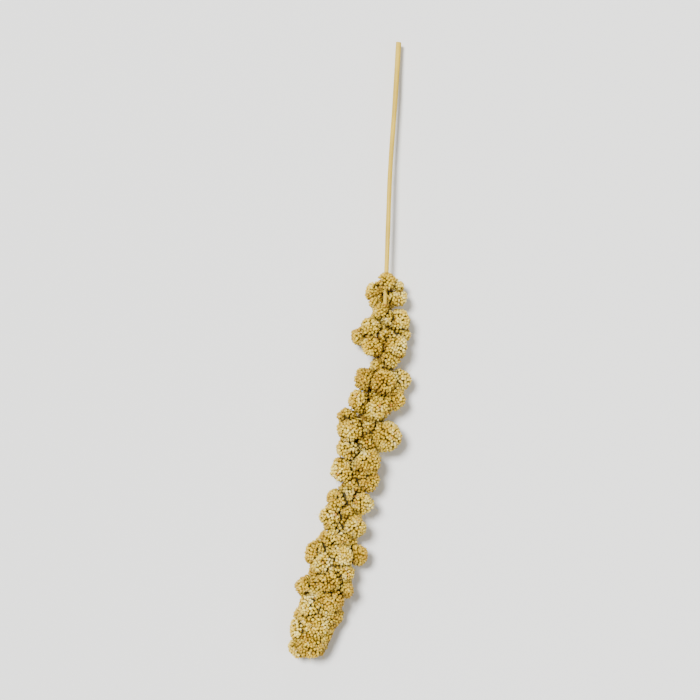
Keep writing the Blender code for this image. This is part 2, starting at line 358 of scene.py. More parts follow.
def centre_line():
    """Points on a smooth curve through the centre line, and the distance of each from the cut end.

    Between knots b and c, with a before and d after, the point at t is
    b + ((c - a) t + (2a - 5b + 4c - d) t^2 + (3b - a - 3c + d) t^3) / 2.
    """
    knots = np.array(CENTRE_LINE_MM) * MM
    before = 2 * knots[0] - knots[1]
    after = 2 * knots[-1] - knots[-2]
    knots = np.vstack([before, knots, after])
    t = np.linspace(0, 1, SAMPLES_BETWEEN_POINTS, endpoint=False)[:, None]
    pieces = []
    for a, b, c, d in zip(knots, knots[1:], knots[2:], knots[3:]):
        bend = (2 * a - 5 * b + 4 * c - d) * t**2 + (3 * b - a - 3 * c + d) * t**3
        pieces.append(b + 0.5 * ((c - a) * t + bend))
    points = np.vstack([*pieces, knots[-2]])
    steps = np.linalg.norm(np.diff(points, axis=0), axis=1)
    return points, np.concatenate([[0], np.cumsum(steps)])


LINE, DISTANCE = centre_line()
LENGTH = DISTANCE[-1]


def on_line(distance):
    """Points of the centre line at distances from the cut end."""
    return np.stack([np.interp(distance, DISTANCE, LINE[:, axis]) for axis in range(3)], axis=-1)


def frame_at(distance):
    """Unit vectors to the right of the centre line, up from it and on along it."""
    ahead = unit(on_line(distance + MM) - on_line(distance - MM))
    right = unit(np.cross([0, 0, 1], ahead))
    return right, np.cross(ahead, right), ahead


def nearest_distance(points):
    """Distance along the stalk of the point of the centre line that is nearest in plan."""
    gaps = np.linalg.norm(points[:, None, :2] - LINE[None, :, :2], axis=2)
    return DISTANCE[gaps.argmin(axis=1)]


def read_table(rows_mm, distance):
    """Reads a table of lengths in mm at distances from the cut end."""
    places, lengths = np.array(rows_mm).T * MM
    return np.interp(distance, places, lengths)


def rested(centre, radius):
    """A lobe's centre, lifted where the lobe would press too far into the surface."""
    return np.array([centre[0], centre[1], max(centre[2], RESTING_SHARE * radius)])


def placed_lobes(rows):
    """Centre and radius of each lobe listed by its place in plan and its height above the centre line."""
    lobes = []
    for across, along, above, radius in np.array(rows) * MM:
        nearest = np.argmin(np.hypot(LINE[:, 0] - across, LINE[:, 1] - along))
        lobes.append((rested((across, along, LINE[nearest, 2] + above), radius), radius))
    return lobes


def spiral_lobes(standing):
    """Lobes at even steps down the stalk, each a golden angle on from the last, clear of the others."""
    rng = random.Random(SEED)
    lobes = []
    for i in range(int((LENGTH - SPIRAL_BEGINS) / SPIRAL_STEP) + 1):
        distance = SPIRAL_BEGINS + i * SPIRAL_STEP
        turn = i * GOLDEN_ANGLE + rng.uniform(-1, 1) * SPIRAL_TURN_SPREAD
        radius = read_table(SPIRAL_RADII_MM, distance) * (1 + rng.uniform(-1, 1) * SPIRAL_RADIUS_SPREAD)
        reach = max(read_table(HALF_WIDTH_MM, distance) - radius, 0)
        if math.cos(turn) > SUNK_FACES_UP and SUNK_BEGINS < distance < SUNK_ENDS:
            reach *= SUNK_SHARE
        right, up, _ = frame_at(distance)
        outward = math.sin(turn) * right + math.cos(turn) * up
        centre = rested(on_line(distance) + reach * outward, radius)
        gaps = [np.linalg.norm(centre - other) / (radius + size) for other, size in standing]
        if min(gaps) > SPIRAL_CLEAR_OF_STANDING:
            lobes.append((centre, radius))
    return lobes


def core_lobes():
    """Balls along the stalk that fill the close part between its lobes."""
    places, shares = np.array(CORE_SHARES_MM).T
    distances = np.arange(CORE_BEGINS, LENGTH, CORE_STEP)
    shares = np.interp(distances, places * MM, shares)
    return [(on_line(d), share * read_table(HALF_WIDTH_MM, d)) for d, share in zip(distances, shares)]


def bridging_lobes(lobes):
    """Smaller balls halfway between neighbours on the same side of the stalk, which run them together."""
    centres = np.array([centre for centre, _ in lobes])
    distances = nearest_distance(centres)
    sides = np.sum((centres - on_line(distances)) * frame_at(distances)[0], axis=1)
    bridges = []
    for i, j in itertools.combinations(range(len(lobes)), 2):
        gap = np.linalg.norm(centres[i] - centres[j]) / (lobes[i][1] + lobes[j][1])
        if gap < BRIDGE_REACH and sides[i] * sides[j] > 0 and abs(sides[i] + sides[j]) > BRIDGE_CLEAR:
            bridges.append(((centres[i] + centres[j]) / 2, BRIDGE_SHARE * min(lobes[i][1], lobes[j][1])))
    return bridges


LOOSE = placed_lobes(LOOSE_LOBES_MM)
STANDING = placed_lobes(STANDING_LOBES_MM)
CLOSE = STANDING + spiral_lobes(LOOSE + STANDING)
LOBES = LOOSE + CLOSE + core_lobes() + bridging_lobes(LOOSE + STANDING)
CENTRES = np.array([centre for centre, _ in LOBES])
RADII = np.array([radius for _, radius in LOBES])
LOBES_ALONE = len(LOOSE) + len(CLOSE)

# Red-brown grains: the middle of the loose lobe that has most of them and how far round it they reach,
# their share there and elsewhere, how deep their tone goes, and the most that another grain is tinged,
# with the power by which that falls off
RUST_LOBE = 7
RUST_PLACE = LOOSE[RUST_LOBE][0]
RUST_REACH = 6 * MM
RUST_SHARE_THERE = 0.08
RUST_SHARE = 0.012
RUST_DEPTHS = (0.4, 0.9)
RUST_TINGE = 0.22
RUST_FALL = 3


def even_directions(count, rng):
    """Directions spread evenly over a ball, then turned at random as one.

    Direction i of n has a height of 1 - (2i + 1) / n and stands a golden angle on from the one before.
    """
    i = np.arange(count)
    height = 1 - (2 * i + 1) / count
    level = np.sqrt(1 - height**2)
    turn = GOLDEN_ANGLE * i
    directions = np.column_stack([level * np.cos(turn), level * np.sin(turn), height])
    return directions @ np.linalg.qr(rng.normal(size=(3, 3)))[0]


def waves(points, length, rng):
    """Soft waves through space of about one length, mostly from -1 to 1: a mean of cosines with a gain."""
    axes = unit(rng.normal(size=(WAVE_COUNT, 3))) * rng.uniform(*WAVE_PACES, (WAVE_COUNT, 1)) * TURN / length
    return WAVE_GAIN * np.cos(points @ axes.T + rng.uniform(0, TURN, WAVE_COUNT)).mean(axis=-1)


def warped(points):
    """Points moved aside by soft waves, so that no lobe is quite round: p + size (w1(p), w2(p), w3(p)).

    The waves fade out toward the surface below.
    """
    rng = np.random.default_rng(SEED + 6)
    shifts = np.stack([waves(points, WARP_LENGTH, rng) for _ in range(3)], axis=-1)
    return points + WARP_SIZE * shifts * np.clip(points[..., 2:] / WARP_FADE_HEIGHT, 0, 1)


def near_pairs(points, reach):
    """Numbers of all pairs of points nearer to each other than the reach, the lower number first."""
    tree = KDTree(len(points))
    for number, point in enumerate(points):
        tree.insert(point, number)
    tree.balance()
    found = [
        (number, other)
        for number, point in enumerate(points)
        for _, other, _ in tree.find_range(point, reach)
        if other > number
    ]
    return np.array(found).reshape(-1, 2)


def thinned(points, reach):
    """Mask of the points left when each that stands within reach of an earlier one left is dropped."""
    kept = np.ones(len(points), bool)
    for number, other in near_pairs(points, reach):
        if kept[number]:
            kept[other] = False
    return kept


def lobe_spots(radii, pitch, rng):
    """Even, jittered spots on each lobe's ball that no other covers, and the number of each one's lobe.

    A ball gets a candidate for each SPOT_AREA pitch^2 of its surface. All come back in a drawn order.
    """
    points, owners = [], []
    for number, (centre, radius) in enumerate(zip(CENTRES, radii)):
        directions = even_directions(round(2 * TURN * radius**2 / (SPOT_AREA * pitch**2)), rng)
        directions = unit(directions + rng.normal(size=directions.shape) * SPOT_JITTER * pitch / radius)
        spots = centre + directions * radius
        gaps = np.linalg.norm(spots[:, None] - CENTRES[None], axis=2) - radii[None]
        gaps[:, number] = 1
        seen = gaps.min(axis=1) > -SPOT_COVER * pitch
        points.append(spots[seen])
        owners.append(np.full(seen.sum(), number))
    points, owners = np.vstack(points), np.concatenate(owners)
    order = rng.permutation(len(points))
    return points[order], owners[order]


def pushed_apart(points, owners, radii, spacing):
    """Spots moved over their own balls until neighbours stand about the spacing apart.

    In each step two spots at a distance d push each other aside by PUSH_SHARE (spacing - d).
    """
    for _ in range(PUSH_STEPS):
        first, second = near_pairs(points, spacing).T
        gap = points[first] - points[second]
        length = np.linalg.norm(gap, axis=1, keepdims=True)
        push = gap / length * (spacing - length) * PUSH_SHARE
        np.add.at(points, first, push)
        np.add.at(points, second, -push)
        points = CENTRES[owners] + unit(points - CENTRES[owners]) * radii[owners][:, None]
    return points


def cleft_share(points, owners, radii):
    """How near each spot is to a cleft between lobes: (1 - gap / width)^power, 1 in the cleft."""
    gaps = np.linalg.norm(points[:, None] - CENTRES[None, :LOBES_ALONE], axis=2) - radii[:LOBES_ALONE]
    among = np.flatnonzero(owners < LOBES_ALONE)
    gaps[among, owners[among]] = 1
    return np.clip(1 - gaps.min(axis=1) / GROOVE_WIDTH, 0, 1) ** GROOVE_POWER


@functools.cache
def grain_sites(pitch, lift, bulge, crowding, lean, sink):
    """Where the grains stand: tip points, directions, distances along the stalk, tones and light for painted
    shade.

    The balls of the lobes are smaller all round by the sink. The grains stand in sprigs: from a
    sprig's middle to a distance d the height falls by bulge (d / reach)^2, and the grains fan out
    from it. All lean on toward the head's tip, sink into the clefts, and follow the lobes' warp.
    """
    rng = np.random.default_rng(SEED)
    radii = RADII - sink
    points, owners = lobe_spots(radii, pitch, rng)
    kept = thinned(points, crowding * pitch)
    owners = owners[kept]
    points = pushed_apart(points[kept], owners, radii, SPOT_SPACING * pitch)
    outward = unit(points - CENTRES[owners])
    cleft = cleft_share(points, owners, radii)
    middles = points[thinned(points, SPRIG_SPACING)]
    nearest = np.linalg.norm(points[:, None] - middles[None], axis=2).argmin(axis=1)
    aside = (points - middles[nearest]) / SPRIG_REACH
    fall = np.minimum(np.sum(aside**2, axis=1), SPRIG_MOST_FALL)
    swell = HEIGHT_WAVES_SIZE * bulge * waves(points, HEIGHT_WAVES, rng)
    rise = lift - bulge * fall + swell - GROOVE_DEPTH * cleft
    rise += rng.normal(size=len(points)) * TIP_JITTER * pitch
    distances = nearest_distance(points)
    ahead = frame_at(distances)[2]
    stray = rng.normal(size=points.shape) * WAY_JITTER
    ways = unit(outward + SPRIG_FAN * aside + lean * ahead + stray)
    tones = TONE_MIDDLE + TONE_PATCHES * waves(points, TONE_WAVES, rng)
    tones += TONE_NARROW_PATCHES * waves(points, TONE_NARROW_WAVES, rng)
    tones += TONE_LOBES * rng.normal(size=len(LOBES))[owners] + TONE_GRAINS * rng.normal(size=len(points))
    tips = points + outward * rise[:, None] + rng.normal(size=points.shape) * TIP_JITTER * pitch
    # Painted shade: the share of light at each tip, cut further in the clefts, darkens the grain's colour
    light = openness(tips, ways) * (1 - GROOVE_SHADE * cleft)
    return warped(tips), ways, distances, np.clip(tones, 0, 1), light


def openness(points, ways):
    """Share of rays round each point's own direction that meet no lobe near it, for painted shade on the
    grains.
    """
    rng = np.random.default_rng(SEED + 5)
    spread = unit(rng.normal(size=(LIGHT_RAYS, 3)))
    shares = np.zeros(len(points))
    away = CENTRES[None] - (points + LIGHT_STARTS * ways)[:, None]
    from_middle = np.sum(away**2, axis=2) - RADII**2
    for direction in spread:
        rays = unit(ways + LIGHT_SPREAD * direction)
        ahead = np.einsum("pc,plc->pl", rays, away)
        root = ahead**2 - from_middle
        entry = ahead - np.sqrt(np.maximum(root, 0))
        hit = (root > 0) & (entry > LIGHT_BEGINS) & (entry < LIGHT_ENDS)
        shares += ~hit.any(axis=1)
    return shares / LIGHT_RAYS


def side_vectors(ways, spins):
    """Two unit vectors square to each way and to each other, turned about it by a spin."""
    other = np.where(np.abs(ways[:, 2:]) < NEARLY_UP, [[0.0, 0.0, 1.0]], [[1.0, 0.0, 0.0]])
    first = unit(np.cross(other, ways))
    second = np.cross(ways, first)
    c, s = np.cos(spins)[:, None], np.sin(spins)[:, None]
    return first * c + second * s, second * c - first * s


def add_object(name, data):
    """An object in the scene that shows a mesh, a light or a camera."""
    obj = bpy.data.objects.new(name, data)
    bpy.context.scene.collection.objects.link(obj)
    return obj


def write_mesh(name, points, faces, material, uv=None, values=None):
    """Makes an object from arrays: points, faces with the same number of corners, and their maps."""
    mesh = bpy.data.meshes.new(name)
    mesh.vertices.add(len(points))
    mesh.vertices.foreach_set("co", np.asarray(points, np.float32).ravel())
    mesh.loops.add(faces.size)
    mesh.loops.foreach_set("vertex_index", np.asarray(faces, np.int32).ravel())
    mesh.polygons.add(len(faces))
    mesh.polygons.foreach_set("loop_start", np.arange(0, faces.size, faces.shape[1], dtype=np.int32))
    if uv is not None:
        layer = mesh.uv_layers.new(name="UVMap")
        layer.data.foreach_set("uv", np.asarray(uv, np.float32).ravel())
    for label, numbers in (values or {}).items():
        attribute = mesh.attributes.new(label, "FLOAT", "POINT")
        attribute.data.foreach_set("value", np.asarray(numbers, np.float32))
    mesh.update(calc_edges=True)
    mesh.validate()
    mesh.polygons.foreach_set("use_smooth", np.ones(len(mesh.polygons), bool))
    mesh.materials.append(material)
    obj = add_object(name, mesh)
    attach(obj, "root")
    return obj


def capped(heights, sides):
    """Triangles and map of a closed body: rings of points, then a pole at its foot and one at its top.

    Ring i and side j are joined to ring i + 1 and side j + 1. The map goes once across for a turn,
    and up by each ring's height, with the poles at 0 and 1.
    """

    def corner(ring, side):
        return ring * sides + side % sides, side / sides, heights[ring]

    rings = len(heights)
    i, j = (n.ravel() for n in np.meshgrid(np.arange(rings - 1), np.arange(sides), indexing="ij"))
    side = np.arange(sides)
    first, last = 0 * side, 0 * side + rings - 1
    foot, top = ((rings * sides + end, (side + 0.5) / sides, end) for end in (0, 1))
    triangles = (
        (corner(i, j), corner(i, j + 1), corner(i + 1, j + 1)),
        (corner(i, j), corner(i + 1, j + 1), corner(i + 1, j)),
        (foot, corner(first, side + 1), corner(first, side)),
        (top, corner(last, side), corner(last, side + 1)),
    )
    table = np.vstack(
        [np.stack([np.stack(np.broadcast_arrays(*one), -1) for one in three], 1) for three in triangles]
    )
    return table[:, :, 0].astype(int), table[:, :, 1:]


def ringed(across, aside, heights):
    """Points of rings: how far across and aside each stands, in a row for each ring, and its height."""
    up = np.repeat(heights[:, None], across.shape[1], axis=1)
    return np.stack([across, aside, up], axis=-1).reshape(-1, 3)


def turned_form(outline, sides, flatness=1.0, foot=0.0):
    """Points, triangles and map of a closed form turned about its length, from its foot to 1.

    At height v and turn u it stands half_width(v) (cos u, flatness sin u) from its length.
    """
    heights, halves = np.array(outline).T
    turns = np.arange(sides) * TURN / sides
    across, aside = halves[:, None] * np.cos(turns), halves[:, None] * np.sin(turns) * flatness
    points = np.vstack([ringed(across, aside, heights), [[0, 0, foot], [0, 0, 1]]])
    return points, *capped(heights, sides)


def copies(template, roots, ways, spins, scales):
    """Points of many copies of a template, root + x a + y b + z way, lifted clear of the surface."""
    axes = (*side_vectors(ways, spins), ways)
    parts = [template[None, :, n, None] * (axes[n] * scales[:, n : n + 1])[:, None] for n in range(3)]
    points = roots[:, None] + sum(parts)
    return points - np.minimum(points[:, :, 2].min(axis=1), 0)[:, None, None] * np.array([0, 0, 1])


def write_copies(name, points, faces, material, uv=None, values=None):
    """Makes one object of a form's many copies: points of each, one's faces and map, a value for each."""
    count, size = points.shape[:2]
    faces = (faces[None] + size * np.arange(count)[:, None, None]).reshape(-1, 3)
    uv = None if uv is None else np.tile(uv, (count, 1, 1))
    values = {label: np.repeat(numbers, size) for label, numbers in (values or {}).items()}
    return write_mesh(name, points.reshape(-1, 3), faces, material, uv=uv, values=values)


def feed(tree, slot, value):
    """Links another socket to one, or sets its value."""
    if hasattr(value, "links"):
        tree.links.new(value, slot)
    elif value is not None:
        slot.default_value = value


def fill(tree, node, **values):
    """Feeds a node's inputs by name, with an underscore standing for a space."""
    for label, value in values.items():
        feed(tree, node.inputs[label.replace("_", " ")], value)
    return node


def math_node(tree, operation, first, second=None):
    """A Math node fed by sockets or numbers."""
    node = tree.nodes.new("ShaderNodeMath")
    node.operation = operation
    for slot, value in zip(node.inputs, (first, second)):
        feed(tree, slot, value)
    return node.outputs[0]


def mix_colour(tree, factor, first, second, blend="MIX"):
    """A Mix node for colours, fed by sockets or values."""
    node = tree.nodes.new("ShaderNodeMix")
    node.data_type = "RGBA"
    node.blend_type = blend
    for number, value in ((0, factor), (6, first), (7, second)):
        feed(tree, node.inputs[number], value)
    return node.outputs[2]


def noise(tree, place, scale, detail=2.0):
    """A Noise texture's value at a place."""
    node = tree.nodes.new("ShaderNodeTexNoise")
    return fill(tree, node, Vector=place, Scale=scale, Detail=detail).outputs["Fac"]


def new_group(name, inputs, outputs):
    """A node group and its two ends, from its inputs' defaults and its outputs' names."""
    tree = bpy.data.node_groups.new(name, "ShaderNodeTree")
    for label, default in inputs.items():
        made = tree.interface.new_socket(label, in_out="INPUT", socket_type="NodeSocketFloat")
        made.default_value = default
    for label in outputs:
        tree.interface.new_socket(label, in_out="OUTPUT", socket_type="NodeSocketFloat")
    return tree, tree.nodes.new("NodeGroupInput"), tree.nodes.new("NodeGroupOutput")


@functools.cache
def weathered_group():
    """Blotches of tone over dried plant matter and its fine roughness: out come a mask and a height."""
    defaults = {"Blotch Scale": 90.0, "Fine Scale": 1400.0}
    tree, start, end = new_group("dried_tone", defaults, ("Mask", "Height"))
    place = tree.nodes.new("ShaderNodeTexCoord").outputs["Object"]
    for scale, out, detail in (("Blotch Scale", "Mask", 3.0), ("Fine Scale", "Height", 2.0)):
        feed(tree, end.inputs[out], noise(tree, place, start.outputs[scale], detail))
    return tree


@functools.cache
def ribs_group():
    """Lengthwise ribs round a turned form, from its map: (1 + sin(turns x ribs)) / 2, wandering a little."""
    tree, start, end = new_group("lengthwise_ribs", {"Ribs": 10.0, "Wander": 0.1}, ("Height",))
    place, around, _ = read_map(tree)
    wander = math_node(tree, "MULTIPLY", noise(tree, place, scale=7), start.outputs["Wander"])
    around = math_node(tree, "ADD", around, wander)
    turned = math_node(tree, "MULTIPLY", around, start.outputs["Ribs"])
    wave = math_node(tree, "SINE", math_node(tree, "MULTIPLY", turned, TURN))
    half = math_node(tree, "MULTIPLY", wave, 0.5)
    feed(tree, end.inputs["Height"], math_node(tree, "ADD", half, 0.5))
    return tree


def new_material(name, **values):
    """A material, its node tree and its Principled shader with some values set."""
    made = bpy.data.materials.new(name)
    made.use_nodes = True
    tree = made.node_tree
    return made, tree, fill(tree, tree.nodes["Principled BSDF"], **values)


def add_group(tree, group, **values):
    """A node group placed in a material with values of its own."""
    node = tree.nodes.new("ShaderNodeGroup")
    node.node_tree = group
    return fill(tree, node, **values)


def read_value(tree, label):
    """A value that the mesh carries at its points."""
    node = tree.nodes.new("ShaderNodeAttribute")
    node.attribute_name = label
    return node.outputs["Fac"]


def read_map(tree):
    """A piece's own map and its two coordinates: round it and along it."""
    uv = tree.nodes.new("ShaderNodeUVMap")
    uv.uv_map = "UVMap"
    split = tree.nodes.new("ShaderNodeSeparateXYZ")
    feed(tree, split.inputs[0], uv.outputs[0])
    return uv.outputs[0], split.outputs[0], split.outputs[1]


def ramp(tree, factor, stops):
    """Colours by a factor: each stop has its place and its colour."""
    node = tree.nodes.new("ShaderNodeValToRGB")
    feed(tree, node.inputs[0], factor)
    elements = node.color_ramp.elements
    while len(elements) < len(stops):
        elements.new(0.5)
    for element, (place, colour) in zip(elements, stops):
        element.position = place
        element.color = (*colour, 1)
    return node.outputs[0]


def bump(tree, height, strength, distance):
    """A normal from a height."""
    node = tree.nodes.new("ShaderNodeBump")
    return fill(tree, node, Height=height, Strength=strength, Distance=distance).outputs[0]


@functools.cache
def grain_material():
    """Husked grain: a tone for each from ochre to cream, with painted shade at the foot, ribbed and finely
    rough.
    """
    tint = bpy.context.scene.millet_colours
    made, tree, shader = new_material("husked_grain", Roughness=0.55, Specular_IOR_Level=0.25)
    stops = ((0.08, tint.ochre), (0.40, tint.gold), (0.62, tint.straw), (0.84, tint.cream), (1.0, tint.pale))
    tones = ramp(tree, read_value(tree, "tone"), stops)
    tones = mix_colour(tree, read_value(tree, "ripe"), tones, (*tint.rust, 1))
    # Painted shade: grains of the under layer are multiplied by the under colour, as if shaded by the outer
    # ones
    in_shade = mix_colour(tree, 1.0, tones, (*tint.under, 1), "MULTIPLY")
    colour = mix_colour(tree, read_value(tree, "deep"), tones, in_shade)
    dried = add_group(tree, weathered_group(), Blotch_Scale=160.0, Fine_Scale=2600.0)
    ribs = add_group(tree, ribs_group(), Ribs=9.0, Wander=0.05)
    # Painted shade: each grain darkens from its tip down to its foot, where its neighbours shade it
    foot = ((0.38, tint.grain_foot_shade), (0.60, tint.grain_waist_shade), (0.78, WHITE), (1.0, (1, 0.98, 0.92)))
    # Multiplied in turn: painted shade where little light reaches, painted shade toward each grain's foot,
    # and blotches of dried tone
    for factor, shades in (
        (read_value(tree, "open"), ((0.35, tint.crevice_shade), (0.98, WHITE))),
        (read_map(tree)[2], foot),
        (dried.outputs["Mask"], ((0.3, (0.8, 0.78, 0.74)), (0.7, (1.06, 1.04, 1.0)))),
    ):
        colour = mix_colour(tree, 1.0, colour, ramp(tree, factor, shades), "MULTIPLY")
    low = math_node(tree, "MULTIPLY", ribs.outputs["Height"], 0.5)
    height = math_node(tree, "ADD", low, dried.outputs["Height"])
    normal = bump(tree, height, strength=0.5, distance=0.06 * MM)
    fill(tree, shader, Base_Color=colour, Normal=normal)
    return made


@functools.cache
def chaff_material():
    """Papery glume: pale, thin and dull, with fine nerves."""
    tint = bpy.context.scene.millet_colours
    made, tree, shader = new_material("papery_glume", Roughness=0.7, Specular_IOR_Level=0.2)
    colour = ramp(tree, read_value(tree, "tone"), ((0.1, tint.straw), (0.8, tint.paper)))
    ribs = add_group(tree, ribs_group(), Ribs=5.0, Wander=0.02)
    normal = bump(tree, ribs.outputs["Height"], strength=0.3, distance=0.05 * MM)
    fill(tree, shader, Base_Color=colour, Normal=normal)
    return made


@functools.cache
def core_shade_material():
    """Painted shade for the inside of the head, seen only between grains: a dark colour standing in for the
    shade there.
    """
    tint = bpy.context.scene.millet_colours
    made, tree, shader = new_material("head_inside_shade", Roughness=0.9, Specular_IOR_Level=0.15)
    dried = add_group(tree, weathered_group(), Blotch_Scale=400.0, Fine_Scale=1800.0)
    dark = tuple(DARKEST_SHADE * part for part in tint.shade)
    colour = ramp(tree, dried.outputs["Mask"], ((0.35, dark), (0.65, tint.shade)))
    normal = bump(tree, dried.outputs["Height"], strength=0.6, distance=0.3 * MM)
    fill(tree, shader, Base_Color=colour, Normal=normal)
    return made


@functools.cache
def stalk_material():
    """Dry straw: fine lengthwise fibres, faint blotches and a paler pith at the cut."""
    tint = bpy.context.scene.millet_colours
    made, tree, shader = new_material("dry_straw", Roughness=0.5, Specular_IOR_Level=0.25)
    stretch = fill(tree, tree.nodes.new("ShaderNodeMapping"), Vector=read_map(tree)[0], Scale=(38, 1.4, 1))
    fibre = noise(tree, stretch.outputs[0], scale=4, detail=5)
    fibres = ramp(tree, fibre, ((0.32, tint.straw_dark), (0.5, tint.stalk), (0.68, tint.straw_light)))
    dried = add_group(tree, weathered_group(), Blotch_Scale=55.0, Fine_Scale=2000.0)
    blotch = ramp(tree, dried.outputs["Mask"], ((0.3, (0.74, 0.7, 0.62)), (0.62, (1.05, 1.04, 1.0))))
    colour = mix_colour(tree, 1.0, fibres, blotch, "MULTIPLY")
    colour = mix_colour(tree, read_value(tree, "pith"), colour, (*tint.pith, 1))
    fine = math_node(tree, "MULTIPLY", dried.outputs["Height"], 0.4)
    normal = bump(tree, math_node(tree, "ADD", fibre, fine), strength=0.35, distance=0.1 * MM)
    fill(tree, shader, Base_Color=colour, Normal=normal)
    return made


def colour_property(name, description, default):
    """A colour that the panel shows as a swatch."""
    return bpy.props.FloatVectorProperty(
        name=name, description=description, default=default, subtype="COLOR", min=0, max=1
    )


def length_property(name, description, default):
    """A length in metres, fine enough for grains."""
    return bpy.props.FloatProperty(
        name=name, description=description, default=default, unit="LENGTH", precision=5, min=0
    )


def share_property(name, description, default):
    """A share from nothing to all."""
    return bpy.props.FloatProperty(
        name=name, description=description, default=default, subtype="FACTOR", min=0, max=1
    )


def count_property(name, description, default):
    """A number of small parts."""
    return bpy.props.IntProperty(name=name, description=description, default=default, min=0)


class MilletSizes(bpy.types.PropertyGroup):
    """Sizes of the small repeated forms."""

    pitch: length_property("Grain pitch", "Distance from one grain to the next on a lobe", 1.30 * MM)
    grain_width: length_property("Grain width", "Width of a husked grain at its widest", 1.48 * MM)
    grain_length: length_property("Grain length", "Length of a husked grain, foot to tip", 1.95 * MM)
    lift: length_property("Grain lift", "Height of the grains' tips over a lobe's own radius", 0.5 * MM)
    bulge: length_property("Sprig bulge", "Height of a sprig's middle over its edge", 0.17 * MM)
    crowding: share_property("Crowding", "Least distance between two grains, as a share of the pitch", 0.80)
    lean: share_property("Lean", "How far the grains lean on toward the tip of the head", 0.3)
    under_depth: length_property("Under layer", "Depth of the grains between the outer ones", 1.1 * MM)
    chaff_share: share_property("Glume share", "Share of the grains with a papery glume beside them", 0.4)
    bristles: count_property("Bristles", "Number of short bristles on the head", 420)
    stalk_hairs: count_property("Stalk hairs", "Number of fine hairs on the stalk inside the head", 420)
    bristle_length: length_property("Bristle length", "Middle length of a bristle", 2.6 * MM)


class MilletColours(bpy.types.PropertyGroup):
    """Colours of the grains, the husks and the stalk."""

    cream: colour_property("Cream", "The palest common grains", (0.96, 0.77, 0.15))
    pale: colour_property("Pale", "Grains bleached almost white", (1.0, 0.87, 0.30))
    straw: colour_property("Straw", "Pale golden grains", (0.82, 0.60, 0.052))
    gold: colour_property("Gold", "The commonest grains", (0.69, 0.47, 0.030))
    ochre: colour_property("Ochre", "The darkest grains", (0.50, 0.31, 0.018))
    # Painted shade: the next four colours darken the grains at their feet, between lobes and under the outer
    # ones
    grain_foot_shade: colour_property("Grain foot", "Shade over the foot of a grain", (0.27, 0.23, 0.13))
    grain_waist_shade: colour_property("Grain waist", "Shade over the middle of a grain", (0.72, 0.68, 0.56))
    crevice_shade: colour_property("Crevice", "Shade over the grains between lobes", (0.40, 0.37, 0.27))
    under: colour_property("Under layer", "Shade over the grains under the outer ones", (0.58, 0.53, 0.38))
    rust: colour_property("Rust", "The few red-brown grains", (0.52, 0.20, 0.012))
    paper: colour_property("Paper", "Papery glumes", (0.80, 0.62, 0.24))
    # Painted shade: the head's inside is coloured this dark to stand for the shade between the grains
    shade: colour_property("Shade", "Inside of the head", (0.07, 0.055, 0.018))
    stalk: colour_property("Stalk", "Middle tone of the stalk", (0.65, 0.445, 0.034))
    straw_dark: colour_property("Dark fibres", "Darker fibres of the stalk", (0.43, 0.265, 0.020))
    straw_light: colour_property("Light fibres", "Paler fibres of the stalk", (0.79, 0.58, 0.07))
    pith: colour_property("Pith", "Pith at the cut end", (0.84, 0.68, 0.34))
    floor: colour_property("Floor", "The pale surface below", (0.88, 0.88, 0.86))


def sites_of(context, sink=0.0):
    """The grain sites for the sizes set in the panel."""
    sizes = context.scene.millet_sizes
    return grain_sites(sizes.pitch, sizes.lift, sizes.bulge, sizes.crowding, sizes.lean, sink)


class MILLET_OT_core(bpy.types.Operator):
    """Inner mass of each lobe and of the close part, under the grains, coloured dark as painted shade"""

    bl_idname = "millet.core"
    bl_label = "Head inside"

    def execute(self, context):
        """Each lobe's ball, one grain's depth smaller: centre + (radius - depth) x direction."""
        tilts = np.linspace(math.pi - BALL_POLE_ANGLE, BALL_POLE_ANGLE, BALL_ROWS)
        outline = np.column_stack([np.cos(tilts), np.sin(tilts)])
        ball, faces, _ = turned_form(outline, BALL_SIDES, foot=-1)
        depth = BALL_DEPTH * context.scene.millet_sizes.grain_length
        size = np.maximum(RADII - depth, BALL_LEAST_SHARE * RADII)
        points = warped(CENTRES[:, None] + ball[None] * size[:, None, None])
        points[:, :, 2] = np.maximum(points[:, :, 2], BALL_CLEARANCE)
        core = write_copies("head_inside_shade", points, faces, core_shade_material())
        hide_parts("seed_head")
        return {"FINISHED"}


